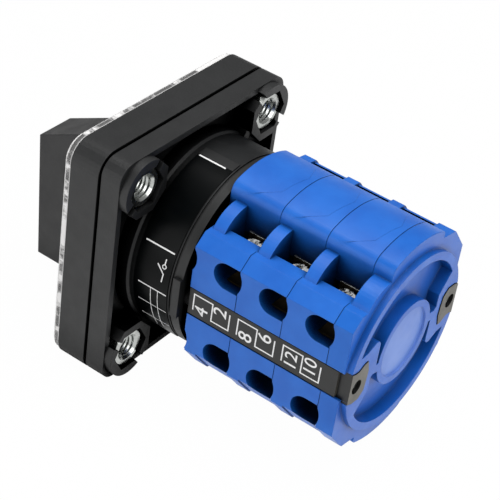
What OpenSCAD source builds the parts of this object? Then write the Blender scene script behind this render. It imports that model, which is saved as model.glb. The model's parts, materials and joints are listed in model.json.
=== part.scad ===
// Changeover cam switch, 1-0-2, three contact sections, panel mounting.
// Frame: Y = 0 is the back of the front frame (the panel plane), Y runs rearward along the shaft,
// Z is up and X is to the right seen from the knob.

/* [Front plate] */
// Side of the square front frame
plate_side = 64; // [62:1:68]
// Depth of the front frame
frame_depth = 8.2; // [7:0.1:10]
// Corner radius of the front frame
frame_corner = 5.5; // [5:0.5:8]
// Thickness of the clear cover's edge
cover_edge = 2.3; // [1.8:0.1:3]
// Inset of the clear cover and of the rear plate from the frame's edge
edge_inset = 0.3; // [0.2:0.05:0.6]
// Thickness of the panel gasket
gasket_t = 0.7; // [0.5:0.1:1.2]
// Distance between the fixing holes
hole_pitch = 48; // [47:0.5:49]

/* [Mounting plate] */
// Depth of the plate's rim behind the gasket
rim_depth = 5.4; // [4.5:0.1:7]
// Thickness of the plate's rim
rim_t = 1.6; // [1.2:0.1:2]
// Thickness of the plate's floor
floor_t = 1.6; // [1.2:0.1:2.5]
// Outer radius of the corner bosses
boss_r = 7.5; // [7.3:0.1:7.7]
// How far the corner bosses stand above the rim
boss_rise = 2.1; // [1:0.1:3]
// Width of the slots in the corner bosses
boss_slot = 2.1; // [1.6:0.1:3]

/* [Corner nuts] */
// Width of a nut across its flats
nut_flats = 10; // [9.4:0.1:10.4]
// Height of a nut
nut_h = 5; // [4:0.1:6]
// Radius of the threaded hole
nut_bore_r = 3; // [2.6:0.1:3.3]

/* [Knob] */
// Height of the grip in front of the clear cover
grip_h = 29.9; // [25:0.1:34]
// Thickness of the grip
grip_w = 11.4; // [10.4:0.2:14]
// Height of the pointer end at the front of the grip
grip_nose_top = 7; // [5:0.5:10]
// Height of the pointer end at the foot of the grip
grip_nose_foot = 21.4; // [18:0.5:24]
// Length of the grip below the axis
grip_tail = 29.6; // [26:0.5:31]
// Radius of the knob's round foot
skirt_r = 17; // [15:0.5:20]
// Thickness of the knob's round foot
skirt_t = 3.6; // [3:0.2:5]

/* [Latch] */
// Radius of the round latch housing
latch_r = 25.3; // [25:0.1:25.8]
// Length of the latch housing behind the plate's floor
latch_len = 16.3; // [15.5:0.1:19]
// Thickness of the latch cover
latch_cover_t = 2.9; // [2.4:0.1:4]
// Depth of the star wheel's valleys
star_depth = 1.2; // [0.8:0.1:1.6]
// Radius of the detent rollers
roller_r = 2.6; // [2.2:0.1:2.8]

/* [Contact stack] */
// Depth of one contact section
section_p = 12.8; // [12:0.1:15]
// Gap between the latch cover and the first section's walls
stack_gap = 1.6; // [1:0.1:2.5]
// Half of the stack's width
side_x = 23.7; // [23.4:0.1:25]
// Height of the terminal shoulder above the axis
shoulder_z = 18.4; // [18:0.1:19]
// Radius of the contact dome
dome_r = 27.7; // [27.2:0.1:28.2]
// Width of the dome from the axis to the open corners
dome_x = 10.2; // [10:0.1:10.4]
// Thickness of a section's front wall and rib
wall_t = 3.9; // [3:0.1:4.2]
// Height of the wire entries above the axis
wire_z = 12; // [11.8:0.1:12.2]
// Radius of the wire entries
wire_r = 3.5; // [3:0.1:3.6]

/* [Mechanism] */
// Side of the square shaft
shaft_s = 6; // [5:0.5:6]
// Radius of the cams at the rest position
cam_r = 7.2; // [7:0.1:7.4]
// Stroke of a plunger from rest to each end position
stroke = 2; // [1.6:0.1:2]
// Angle of the knob from rest to each end position
throw_a = 60; // [60]

/* [End cover] */
// Thickness of the end cover's flange
end_t = 5.1; // [4.4:0.1:6]
// Height of the raised rim on the end cover
end_rim_h = 1.5; // [1:0.1:2]
// Outer radius of the central boss
end_boss_r = 11; // [10:0.2:12]

/* [Fits] */
// Clearance of shafts and hubs in their bearings
run_c = 0.05; // [0.02:0.01:0.08]
// Clearance of sliding pieces
slide_c = 0.15; // [0.1:0.05:0.25]

/* [Hidden] */

eps = 0.01;
plastic_black = [0.16, 0.17, 0.18];
plastic_blue = [0.16, 0.40, 0.82];
zinc = [0.72, 0.73, 0.74];
brass = [0.80, 0.62, 0.30];
spring_steel = [0.60, 0.61, 0.63];

// Places along the shaft
frame_front = -frame_depth;
cover_front = frame_front - cover_edge;
skirt_back = cover_front - 0.4;
skirt_front = skirt_back - skirt_t;
knob_front = cover_front - grip_h;
plate_front = gasket_t;
plate_floor = plate_front + floor_t;
rim_back = plate_front + rim_depth;
boss_back = rim_back + boss_rise;
latch_back = plate_floor + latch_len;
stack_front = latch_back + latch_cover_t;
section_0 = stack_front + stack_gap;
stack_back = section_0 + 3 * section_p;
flange_back = stack_back + end_t;
end_back = flange_back + end_rim_h;

// Plate and frame
half_plate = plate_side / 2;
half_hole = hole_pitch / 2;
frame_wall = 1.8;
frame_face = 2;
frame_bore_r = 13;
screw_hole_r = nut_bore_r + 0.3;
hole_margin = half_plate - half_hole - screw_hole_r;
gasket_inset = 0.34 * hole_margin;
gasket_hole_r = screw_hole_r + 0.12 * hole_margin;
slot_a = 82;
nut_face_r = nut_flats / 2 - 0.3;
nut_edge_r = nut_flats / 2 + 0.9;
nut_chamfer = 0.9;
latch_screw_z = 17;
latch_screw_r = 1.55;
latch_screw_head_r = 3;
latch_screw_len = 5;
screw_head_r = 5.4;
screw_tube_r = 6.6;

// Knob and its fixing
hub_r = 8.4;
hub_back = -4.5;
socket_front = -13;
knob_floor = 2.5;
cap_r = 3.6;
cap_t = 3;
knob_screw_r = 1.5;
knob_screw_head_r = 3.1;
knob_screw_head_h = 2.2;
knob_screw_len = 7;
slot_w = 0.8;

// Latch
bearing_r = 5.9;
latch_floor = 5.7;
star_t = latch_len - latch_floor - 0.8;
star_tip_r = latch_r - 11.8;
star_front = plate_floor + latch_floor + 0.4;
star_mid = star_front + star_t / 2;
roller_rest = star_tip_r + roller_r + 0.1;
slide_w = 7;
slide_outer = roller_rest + 4.4;
latch_wall = 1.8;
guide_end = latch_r - latch_wall;
detent_spring_r = 2.5;
ring_r = latch_r + 0.55;
ring_len = 3.7;
ring_chamfer = 0.55;
lug_a = 126.5;
lug_w = 2.2;
lug_h = 1.7;
lug_len = 5.5;
label_front = 5.7;
tab_z = 5.5;
tie_x = 20;
tie_z = -1;
tie_r = 1.4;
tie_head_r = 1.75;
tie_head_h = 1.4;
tie_grip = 7;
post_r = 3;
post_z = 14;

// Contact section, measured from its own front face
mech_y = 8.9;
cam_t = 6.2;
cam_room_r = cam_r + stroke + 1;
plunger_w = 6;
tip_d = 5.8;
follower_r = 0.8;
pad_z = 14.2;
pad_t = 1;
tip_h = 0.5;
tip_r = 1.4;
dome_room_x = dome_x - 1.5;
dome_roof_z = dome_r - 2.6;
bridge_t = 1;
bridge_half = dome_room_x - 0.5;
bridge_w = 5.6;
bridge_z = pad_z + pad_t + 2 * tip_h + stroke + 0.1;
tip_x = bridge_half - 1.8;
post_w = 2.4;
post_h = 0.63 * (dome_roof_z - bridge_z - bridge_t - stroke);
spring_r = 2.6;
wire_d = 0.7;
pocket_x1 = 16.2;
ear_dome_x = dome_x + 1.8;
ear_pocket_x1 = 16.9;
term_z = wire_z - wire_r - 0.6;
term_t = 1;
term_end = 20.6;
term_w = 6;
screw_x = (dome_x + pocket_x1) / 2;
ear_screw_x = (ear_dome_x + ear_pocket_x1) / 2;
screw_r = 1.6;
head_r = (ear_pocket_x1 - ear_dome_x) / 2 - 0.25;
head_h = 2.2;
clamp_z = 12.3;
clamp_t = 1;
rib_cx = 11;
rib_r = 8.9;
rib_drop = 1.2;
rib_recess = 0.6;
shoulder_x = 20.5;
side_z = shoulder_z - 2.8;
dome_edge_r = 3;
ear_dome_edge_r = 1.2;
ear_drop = 0.6;
groove = 0.16;
groove_depth = 0.14;
entry_notch = 0.9;
entry_notch_r = 5.4;
lip = 1.2;
strap_z = 3.7;
strap_t = 1;
channel_x = side_x - strap_t - 0.2;
channel_z = strap_z + 0.3;

// End cover
end_rim_r = side_x - 0.4;
end_rim_in = side_x - 2.6;
end_floor = flange_back - 1.6;
tie_seat = end_floor + 1.1;
end_disc_r = end_boss_r - 1.9;
end_disc_drop = 0.6;
// Outline of a strap's end from the tie screw: outer top, tip and heel
strap_face = [[2.8, 4.1], [1.6, 3.6], [0, 3.4], [-2.2, 4.4], [-3.5, 4.4], [-4.4, 1.2], [-4.2, -1.6],
    [-3.8, -4.2], [-1.9, -5.8], [0.8, -5.6], [2.8, -4.7]];
// Outline of the pad round it: top, hook, web to the boss and heel
pad_face = [[1.5, 7], [-2.8, 7], [-6, 8.2], [-7.1, 8], [-8, 6.9], [-8, 0.4], [-10.5, 0.4], [-10.5, -2.6],
    [-7.1, -1.9], [-6.3, -2.6], [-6.3, -6.1], [-3.8, -8.9], [-1.8, -11.2], [2, -11.2]];

// Points of an arc in a plane, from angle a0 to angle a1 in n steps
function arc(cx, cy, r, a0, a1, n) =
    [for (i = [0:n]) let (a = a0 + (a1 - a0) * i / n) [cx + r * cos(a), cy + r * sin(a)]];
function flip_z(p) = [for (i = [len(p) - 1:-1:0]) [p[i][0], -p[i][1]]];

// Turns a drawing in X and Z into a solid from y0 to y1
module along_y(y0, y1) translate([0, y1, 0]) rotate([90, 0, 0]) linear_extrude(y1 - y0) children();
// A cylinder along Y
module rod_y(r, y0, y1, x = 0, z = 0, n = 48)
    translate([x, y1, z]) rotate([90, 0, 0]) cylinder(r = r, h = y1 - y0, $fn = n);
// A cylinder along Z
module rod_z(r, z0, z1, x, y, n = 32) translate([x, y, z0]) cylinder(r = r, h = z1 - z0, $fn = n);
// A box between two corners
module block(a, b) translate(a) cube(b - a);
module four_ways() for (mx = [0, 1], mz = [0, 1]) mirror([mx, 0, 0]) mirror([0, 0, mz]) children();
module turned_pair() for (a = [0, 180]) rotate([0, a, 0]) children();
module ear_pair() mirror([0, 0, 1]) turned_pair() children();
module both_sides() for (mx = [0, 1]) mirror([mx, 0, 0]) children();
module tie_bores(r, y0, y1) turned_pair() rod_y(r, y0, y1, x = tie_x, z = tie_z, n = 32);
module rounded_square(half, r)
    polygon(concat(arc(half - r, half - r, r, 0, 90, 8), arc(r - half, half - r, r, 90, 180, 8),
        arc(r - half, r - half, r, 180, 270, 8), arc(half - r, r - half, r, 270, 360, 8)));
module corners() for (sx = [-1, 1], sz = [-1, 1]) translate([sx * half_hole, 0, sz * half_hole]) children();

// Section outline: an open corner with a rib at the upper right and lower left, and a round
// corner at the upper left and lower right
function edge_centre(x, r) = [x - r, sqrt(pow(dome_r - r, 2) - pow(x - r, 2))];
function angle_of(p) = atan2(p[1], p[0]);
open_edge = edge_centre(dome_x, dome_edge_r);
ear_edge = edge_centre(ear_dome_x, ear_dome_edge_r);
rib_cz = open_edge[1] - rib_drop - rib_r;
ear_rise = ear_edge[1] - shoulder_z;
rib_foot_a = asin((shoulder_z - rib_cz) / rib_r);
rib_top_a = acos((dome_x - rib_cx) / rib_r);
open_corner = concat([[side_x, side_z], [shoulder_x, shoulder_z]],
    arc(rib_cx, rib_cz, rib_r, rib_foot_a, rib_top_a, 10),
    arc(open_edge[0], open_edge[1], dome_edge_r, 0, angle_of(open_edge), 8),
    arc(0, 0, dome_r, angle_of(open_edge) + 2, 90, 10));
ear_line = [[side_x, shoulder_z - 3.5], [side_x - 5.4, shoulder_z + 0.53 * ear_rise],
    [side_x - 6.1, shoulder_z + 0.64 * ear_rise], [ear_dome_x + eps, shoulder_z + 0.81 * ear_rise]];
ear_corner = concat(ear_line,
    arc(ear_edge[0], ear_edge[1], ear_dome_edge_r, 0, angle_of(ear_edge), 4),
    arc(0, 0, dome_r, angle_of(ear_edge) + 2, 87, 10));
right_half = concat(flip_z(ear_corner), open_corner);
section_outline = concat(right_half, -right_half);
// What is cut from a round corner between the ribs
ear_cut = [for (p = concat([[side_x + 2, shoulder_z - 6]], ear_line, [[ear_dome_x + eps, dome_r + 2],
    [side_x + 2, dome_r + 2]])) p - [0, ear_drop]];

module section_plate(y0, y1) along_y(y0, y1) polygon(section_outline);
// A plate whose front edge steps back, so that a fine groove shows at the joint
module joint_plate(y0, y1) {
    along_y(y0, y0 + groove + eps) polygon(section_outline * (1 - groove_depth / dome_r));
    section_plate(y0 + groove, y1);
}
// The part of a plate's outline that lies on the dome
module dome_lip(y0, y1)
    intersection() {
        section_plate(y0, y1);
        turned_pair() block([-ear_dome_x, y0 - 1, -eps], [dome_x, y1 + 1, dome_r + 1]);
    }

// Coil of round wire along Z from z0 to z1
module coil(r, z0, z1, turns, wire, x = 0, y = 0) {
    sides = 6;
    steps = 12 * turns;
    w = wire / 2;
    rise = (z1 - z0 - wire) / steps;
    ring = [for (i = [0:steps], k = [0:sides - 1])
        let (a = 30 * i, b = 360 * k / sides, q = r - w + w * cos(b))
        [x + q * cos(a), y + q * sin(a), z0 + w + rise * i + w * sin(b)]];
    skin = [for (i = [0:steps - 1], k = [0:sides - 1])
        let (m = (k + 1) % sides) [i * sides + k, i * sides + m, (i + 1) * sides + m, (i + 1) * sides + k]];
    ends = [[for (k = [sides - 1:-1:0]) k], [for (k = [0:sides - 1]) steps * sides + k]];
    polyhedron(ring, concat(skin, ends));
}

// Knob: round foot, hub with a square socket, and a pointer grip
module knob() color(plastic_black) {
    grip = [[skirt_back, grip_nose_foot], [knob_front, grip_nose_top],
        [knob_front + 1.6, -grip_tail], [skirt_back, -grip_tail]];
    difference() {
        union() {
            rod_y(skirt_r, skirt_front, skirt_back, n = 96);
            rod_y(hub_r, skirt_front, hub_back);
            translate([-grip_w / 2, 0, 0]) rotate([90, 0, 90]) linear_extrude(grip_w) polygon(grip);
        }
        block([-shaft_s / 2 - run_c, socket_front, -shaft_s / 2 - run_c],
            [shaft_s / 2 + run_c, hub_back + 1, shaft_s / 2 + run_c]);
        rod_y(knob_screw_r + 0.2, socket_front - knob_floor - 1, socket_front + 1);
        rod_y(cap_r, knob_front - 1, socket_front - knob_floor);
    }
}
module knob_cap() color(plastic_black) rod_y(cap_r - run_c, knob_front + 0.9, knob_front + 0.9 + cap_t);
module knob_screw() color(zinc) {
    seat = socket_front - knob_floor;
    difference() {
        rod_y(knob_screw_head_r, seat - knob_screw_head_h, seat);
        for (a = [0, 90]) rotate([0, a, 0])
            block([-slot_w / 2, seat - knob_screw_head_h - 1, 0.7 - knob_screw_head_r],
                [slot_w / 2, seat - knob_screw_head_h / 2, knob_screw_head_r - 0.7]);
    }
    rod_y(knob_screw_r, seat, socket_front + knob_screw_len);
}

// Clear cover: a shallow tray over the dial
module clear_cover() color([0.9, 0.95, 1, 0.35]) {
    half = half_plate - edge_inset;
    difference() {
        union() {
            along_y(cover_front + 0.8, frame_front) rounded_square(half, frame_corner);
            along_y(cover_front, cover_front + 0.8) rounded_square(half - 0.7, frame_corner - 0.7);
        }
        along_y(frame_front - 0.9, frame_front + 1) rounded_square(half - 1.8, frame_corner - 1.8);
        rod_y(hub_r + 0.8, cover_front - 1, frame_front);
    }
}
module dial_plate() color([0.86, 0.87, 0.88])
    difference() {
        along_y(frame_front - 0.8, frame_front)
            rounded_square(half_plate - edge_inset - 1.9, frame_corner - 1.9);
        rod_y(hub_r + 1.2, frame_front - 2, frame_front + 1);
    }

// Front frame: a tray open to the rear with a screw tube in each corner
module escutcheon_frame() color(plastic_black)
    difference() {
        along_y(frame_front, 0) rounded_square(half_plate, frame_corner);
        difference() {
            along_y(frame_front + frame_face, 1)
                rounded_square(half_plate - frame_wall, frame_corner - frame_wall);
            rod_y(frame_bore_r + 2, frame_front, 2);
            corners() rod_y(screw_tube_r, frame_front, 2);
            for (s = [-1, 1]) {
                block([-half_plate, frame_front, s * half_hole - 0.6], [half_plate, -1, s * half_hole + 0.6]);
                block([s * half_hole - 0.6, frame_front, -half_plate], [s * half_hole + 0.6, -1, half_plate]);
            }
        }
        rod_y(frame_bore_r, frame_front - 1, 1);
        corners() rod_y(screw_hole_r, frame_front - 1, 1);
        corners() rod_y(screw_head_r, frame_front - 1, frame_front + 3.5);
    }
module panel_gasket() color([0.08, 0.08, 0.09])
    difference() {
        along_y(0, gasket_t) rounded_square(half_plate - gasket_inset, frame_corner - gasket_inset);
        rod_y(frame_bore_r + 3, -1, gasket_t + 1);
        corners() rod_y(gasket_hole_r, -1, gasket_t + 1);
    }

// Rear mounting plate: rimmed pan with a slotted boss round each nut
module nut_outline(c) circle(r = (nut_flats / 2 + c) / cos(30), $fn = 6);
// Boss outline: half round towards the plate's corner, half eight-sided towards the middle
module boss_outline() {
    far = 2 * boss_r;
    intersection() {
        circle(r = boss_r, $fn = 72);
        rotate(45) translate([-eps, -far]) square(2 * far);
    }
    intersection() {
        rotate(22.5) circle(r = boss_r + 0.3, $fn = 8);
        rotate(45) translate([-2 * far, -far]) square(2 * far);
    }
}
module plate_corner()
    difference() {
        along_y(plate_front, boss_back) boss_outline();
        for (a = [-slot_a, slot_a]) rotate([0, -45 - a, 0])
            block([nut_flats / 2, plate_floor, -boss_slot / 2], [boss_r + 1, boss_back + 1, boss_slot / 2]);
    }
module mounting_plate() color(plastic_black) {
    half = half_plate - edge_inset;
    difference() {
        intersection() {
            union() {
                difference() {
                    along_y(plate_front, rim_back) rounded_square(half, frame_corner - 1);
                    along_y(plate_floor, rim_back + 1)
                        rounded_square(half - rim_t, frame_corner - 1 - rim_t);
                }
                four_ways() translate([half_hole, 0, half_hole]) plate_corner();
            }
            along_y(plate_front - 1, boss_back + 1) rounded_square(half, frame_corner - 1);
        }
        four_ways() translate([half_hole, 0, half_hole]) {
            along_y(plate_floor, boss_back + 1) nut_outline(0.1);
            rod_y(screw_hole_r, plate_front - 1, plate_floor + 1);
        }
        rod_y(hub_r, plate_front - 1, plate_floor + 1);
        rod_y(ring_r + 0.2, plate_floor, boss_back + 1, n = 128);
        latch_lug(0.15);
        for (s = [-1, 1]) {
            rod_y(latch_screw_r + 0.2, plate_front - 1, plate_floor + 1, z = s * latch_screw_z, n = 32);
            rod_y(latch_screw_head_r + 0.2, plate_front - 1, plate_front + 0.8, z = s * latch_screw_z, n = 32);
        }
    }
}
module corner_nuts() color(zinc)
    corners() difference() {
        intersection() {
            along_y(plate_floor, plate_floor + nut_h) nut_outline(0);
            rotate([-90, 0, 0]) translate([0, 0, plate_floor])
                rotate_extrude($fn = 48) polygon([[0, 0], [nut_edge_r, 0],
                    [nut_edge_r, nut_h - nut_chamfer], [nut_face_r, nut_h], [0, nut_h]]);
        }
        rod_y(nut_bore_r, plate_floor - 1, plate_floor + nut_h + 1);
        rotate([-90, 0, 0]) translate([0, 0, plate_floor + nut_h - 0.6])
            cylinder(r1 = nut_bore_r, r2 = nut_bore_r + 0.61, h = 0.61, $fn = 48);
    }
module plate_screws() color(zinc)
    for (s = [-1, 1]) {
        rod_y(latch_screw_head_r, plate_front + 0.1, plate_front + 0.8, z = s * latch_screw_z, n = 32);
        rod_y(latch_screw_r, plate_front + 0.8, plate_front + latch_screw_len + 0.6,
            z = s * latch_screw_z, n = 32);
    }

// Small lug beside the latch housing's base ring
module latch_lug(grow)
    rotate([0, -lug_a, 0])
        block([latch_r - 0.5, plate_floor, -lug_w / 2 - grow],
            [latch_r + lug_h + grow, plate_floor + lug_len, lug_w / 2 + grow]);

// Latch housing: a round cup with the star wheel's room and two detent guides
module latch_housing() color(plastic_black)
    difference() {
        union() {
            rod_y(latch_r, plate_floor, latch_back, n = 128);
            rod_y(ring_r, plate_floor, plate_floor + ring_len, n = 128);
            translate([0, plate_floor + ring_len + ring_chamfer, 0]) rotate([90, 0, 0])
                cylinder(r1 = latch_r, r2 = ring_r, h = ring_chamfer, $fn = 128);
            latch_lug(0);
        }
        rod_y(bearing_r + run_c, plate_floor - 1, latch_back);
        rod_y(star_tip_r + 1, plate_floor + latch_floor, latch_back + 1, n = 72);
        for (s = [0, 1]) mirror([0, 0, s])
            block([-slide_w / 2 - slide_c, star_front - slide_c, 0],
                [slide_w / 2 + slide_c, latch_back + 1, guide_end]);
        for (s = [-1, 1]) rod_y(latch_screw_r + run_c, plate_floor - 1, plate_front + latch_screw_len + 0.9,
            z = s * latch_screw_z, n = 32);
        tie_bores(tie_r + run_c, latch_back - tie_grip - 1, latch_back + 1);
    }
module latch_cover() color(plastic_black)
    difference() {
        union() {
            rod_y(latch_r - 0.25, latch_back, latch_back + 0.5, n = 128);
            rod_y(latch_r, latch_back + 0.5, stack_front, n = 128);
            both_sides() block([latch_r - 3, latch_back + 0.8, -tab_z], [latch_r + 0.35, stack_front, tab_z]);
            tie_bores(post_r, stack_front - eps, section_0);
            for (s = [-1, 1]) rod_y(post_r, stack_front - eps, section_0, z = s * post_z, n = 32);
        }
        rod_y(bearing_r + run_c, latch_back - 1, section_0 + 1);
        tie_bores(tie_r + run_c, latch_back - 1, section_0 + 1);
    }
module rating_label() color([0.03, 0.03, 0.03]) {
    t = 0.2;
    y0 = plate_floor + label_front;
    y1 = latch_back - 0.5;
    difference() {
        rod_y(latch_r + t, y0, y1, n = 128);
        rod_y(latch_r, y0 - 1, y1 + 1, n = 128);
        block([-latch_r - 1, y0 - 1, -latch_r - 1], [2, y1 + 1, latch_r + 1]);
        block([-1, y0 - 1, -latch_r - 1], [latch_r + 1, y1 + 1, -17]);
    }
}

// Star wheel and its sprung rollers
module star_wheel() color([0.85, 0.84, 0.78]) {
    n = 90;
    mid = star_tip_r - star_depth / 2;
    rim = [for (i = [0:n - 1])
        let (a = 360 * i / n, r = mid + star_depth / 2 * cos(6 * a)) [r * cos(a), r * sin(a)]];
    difference() {
        union() {
            along_y(star_front, star_front + star_t) polygon(rim);
            rod_y(bearing_r, plate_floor + 0.8, section_0 - 0.3);
        }
        shaft_hole(plate_floor, section_0);
    }
}
module shaft_hole(y0, y1)
    block([-shaft_s / 2 - run_c, y0 - 1, -shaft_s / 2 - run_c],
        [shaft_s / 2 + run_c, y1 + 1, shaft_s / 2 + run_c]);
module detent_slide() color([0.85, 0.84, 0.78])
    difference() {
        block([-slide_w / 2, star_front, roller_rest - 1], [slide_w / 2, star_front + star_t, slide_outer]);
        rod_y(roller_r + run_c, star_front - 1, star_front + star_t + 1, z = roller_rest);
    }
module detent_slide_upper() detent_slide();
module detent_slide_lower() mirror([0, 0, 1]) detent_slide();
module detent_roller(s) color(zinc) rod_y(roller_r, star_front, star_front + star_t, z = s * roller_rest);
module detent_roller_upper() detent_roller(1);
module detent_roller_lower() detent_roller(-1);
module detent_spring() color(spring_steel)
    coil(detent_spring_r, slide_outer, guide_end, 3, wire_d, 0, star_mid);
module detent_spring_upper() detent_spring();
module detent_spring_lower() mirror([0, 0, 1]) detent_spring();
module drive_shaft() color(zinc)
    difference() {
        block([-shaft_s / 2, socket_front + 0.2, -shaft_s / 2], [shaft_s / 2, stack_back + 1.6, shaft_s / 2]);
        rod_y(knob_screw_r + run_c, socket_front - 1, socket_front + knob_screw_len + 1, n = 32);
    }

// Contact housing: front wall with ribs, wire entries, screw pockets and contact rooms
function section_y(i) = section_0 + (i - 1) * section_p;
module upper_room(back)
    // Room for one plunger, its bridge and its spring
    union() {
        block([-plunger_w / 2 - slide_c, wall_t, cam_r], [plunger_w / 2 + slide_c, back, pad_z + 1]);
        intersection() {
            block([-dome_room_x, wall_t, pad_z], [dome_room_x, back, dome_roof_z]);
            rod_y(dome_r - 1.7, wall_t - 1, back + 1, n = 96);
        }
    }
module terminal_room(back, x0, x1) {
    // Screw pocket from x0 to x1, seat of the fixed contact and wire entry
    strip = [mech_y - term_w / 2 - 0.1, term_z + term_t];
    block([x0, wall_t, term_z], [x1, back, dome_r + 1]);
    block([dome_room_x - eps, wall_t, term_z], [dome_x + eps, back, pad_z + pad_t + 0.2]);
    block([dome_room_x, strip[0], term_z], [term_end + 0.1, back, strip[1]]);
    translate([x1 - eps, section_p - wire_r, wire_z]) rotate([0, 90, 0])
        cylinder(r = wire_r, h = side_x - x1 + 1, $fn = 48);
    block([x1 - eps, section_p - wire_r, wire_z - wire_r], [side_x + 1, back, wire_z + wire_r]);
}
// What the front of a piece behind a section leaves free: the wire entries' rear ends and the rib's step
module front_notches() {
    four_ways() translate([side_x - 4, entry_notch - entry_notch_r, wire_z]) rotate([0, 90, 0])
        cylinder(r = entry_notch_r, h = 5, $fn = 72);
    turned_pair() block([dome_x, -1, shoulder_z], [side_x + 1, rib_recess, dome_r + 1]);
    ear_pair() along_y(-1, rib_recess) polygon(ear_cut);
}
module housing(i) color(plastic_blue) {
    back = section_p + 1;
    translate([0, section_y(i), 0]) difference() {
        union() {
            if (i > 1) joint_plate(0, section_p);
            if (i == 1) section_plate(0, section_p);
            if (i == 1) dome_lip(-lip, eps);
        }
        rod_y(bearing_r + run_c, -lip - 1, wall_t + 1);
        rod_y(cam_room_r, wall_t, back, n = 72);
        if (i == 1) rod_y(bearing_r + 3, -lip - 1, 0);
        if (i == 1) for (s = [-1, 1]) rod_y(post_r + slide_c, -lip - 1, 0, z = s * post_z, n = 32);
        for (mz = [0, 1]) mirror([0, 0, mz]) upper_room(back);
        turned_pair() terminal_room(back, dome_x, pocket_x1);
        turned_pair() block([dome_x, wall_t, shoulder_z], [side_x + 1, back, dome_r + 1]);
        ear_pair() terminal_room(back, ear_dome_x, ear_pocket_x1);
        ear_pair() along_y(wall_t, back) polygon(ear_cut);
        both_sides() block([channel_x, -1, -channel_z], [side_x + 1, back, channel_z]);
        front_notches();
        tie_bores(tie_r + 0.2, -1, back);
    }
}
module contact_housing_1() housing(1);
module contact_housing_2() housing(2);
module contact_housing_3() housing(3);

// Cam: radius grows evenly with the angle, so that both plungers follow the knob evenly
hold_a = throw_a + 5;
function cam_radius(a) = cam_r - stroke / throw_a * max(-hold_a, min(hold_a, a));
module cam(i) color([0.85, 0.84, 0.78]) {
    steps = 36;
    upper = [for (k = [0:steps]) let (a = -90 + 180 * k / steps) cam_radius(a) * [sin(a), cos(a)]];
    lower = [for (k = [1:steps - 1]) let (a = 90 - 180 * k / steps) cam_radius(a) * [sin(a), -cos(a)]];
    translate([0, section_y(i), 0]) difference() {
        union() {
            along_y(mech_y - cam_t / 2, mech_y + cam_t / 2) polygon(concat(upper, lower));
            rod_y(bearing_r, 0, wall_t);
            rod_y(cam_r - stroke - 0.1, wall_t - eps, section_p - 0.3);
        }
        shaft_hole(0, section_p);
    }
}
module cam_1() cam(1);
module cam_2() cam(2);
module cam_3() cam(3);

// Plunger: follower tip, stem in its guide and post through the bridge
module plunger(i) color([0.93, 0.92, 0.88]) {
    tip_z = cam_r + 0.1;
    front = wall_t + slide_c - mech_y;
    rear = section_p - slide_c - mech_y;
    translate([0, section_y(i) + mech_y, 0]) {
        rod_y(follower_r, -tip_d / 2, tip_d / 2, z = tip_z + follower_r, n = 24);
        block([-follower_r, -tip_d / 2, tip_z + follower_r], [follower_r, tip_d / 2, tip_z + 2]);
        block([-plunger_w / 2, front, tip_z + 1.8], [plunger_w / 2, rear, bridge_z]);
        block([-post_w / 2, -post_w / 2, bridge_z - 0.1],
            [post_w / 2, post_w / 2, bridge_z + bridge_t + post_h]);
    }
}
module bridge(i) color(brass)
    translate([0, section_y(i) + mech_y, 0]) {
        difference() {
            block([-bridge_half, -bridge_w / 2, bridge_z], [bridge_half, bridge_w / 2, bridge_z + bridge_t]);
            block([-post_w / 2 - 0.1, -post_w / 2 - 0.1, bridge_z - 1],
                [post_w / 2 + 0.1, post_w / 2 + 0.1, bridge_z + bridge_t + 1]);
        }
        both_sides() rod_z(tip_r, bridge_z - tip_h, bridge_z + eps, tip_x, 0);
    }
module contact_spring(i) color(spring_steel)
    coil(spring_r, bridge_z + bridge_t, dome_roof_z, 4, wire_d, 0, section_y(i) + mech_y);
module lowered() mirror([0, 0, 1]) children();
module plunger_upper_1() plunger(1);
module plunger_upper_2() plunger(2);
module plunger_upper_3() plunger(3);
module plunger_lower_1() lowered() plunger(1);
module plunger_lower_2() lowered() plunger(2);
module plunger_lower_3() lowered() plunger(3);
module bridge_upper_1() bridge(1);
module bridge_upper_2() bridge(2);
module bridge_upper_3() bridge(3);
module bridge_lower_1() lowered() bridge(1);
module bridge_lower_2() lowered() bridge(2);
module bridge_lower_3() lowered() bridge(3);
module spring_upper_1() contact_spring(1);
module spring_upper_2() contact_spring(2);
module spring_upper_3() contact_spring(3);
module spring_lower_1() lowered() contact_spring(1);
module spring_lower_2() lowered() contact_spring(2);
module spring_lower_3() lowered() contact_spring(3);

// Terminals of one section: bent fixed contact, clamp plate and screw
riser_x = dome_x - 1.2;
module at_terminals() {
    turned_pair() translate([screw_x, mech_y, 0]) children();
    ear_pair() translate([ear_screw_x, mech_y, 0]) children();
}
module fixed_contact(x) {
    strip = [[riser_x, term_z], [term_end, term_z], [term_end, term_z + term_t],
        [riser_x + term_t, term_z + term_t], [riser_x + term_t, pad_z + pad_t],
        [tip_x - 1.9, pad_z + pad_t], [tip_x - 1.9, pad_z], [riser_x, pad_z]];
    difference() {
        along_y(mech_y - term_w / 2, mech_y + term_w / 2) polygon(strip);
        rod_z(screw_r + run_c, term_z - 1, term_z + 2, x, mech_y);
    }
    rod_z(tip_r, pad_z + pad_t - eps, pad_z + pad_t + tip_h, tip_x, mech_y);
}
module fixed_contacts(i) color(brass) translate([0, section_y(i), 0]) {
    turned_pair() fixed_contact(screw_x);
    ear_pair() fixed_contact(ear_screw_x);
}
module clamp_plates(i) color(zinc) {
    half = (ear_pocket_x1 - ear_dome_x) / 2 - 0.15;
    translate([0, section_y(i), 0]) at_terminals() difference() {
        block([-half, -term_w / 2, clamp_z], [half, term_w / 2, clamp_z + clamp_t]);
        rod_z(screw_r + 0.1, clamp_z - 1, clamp_z + 2, 0, 0);
    }
}
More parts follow.
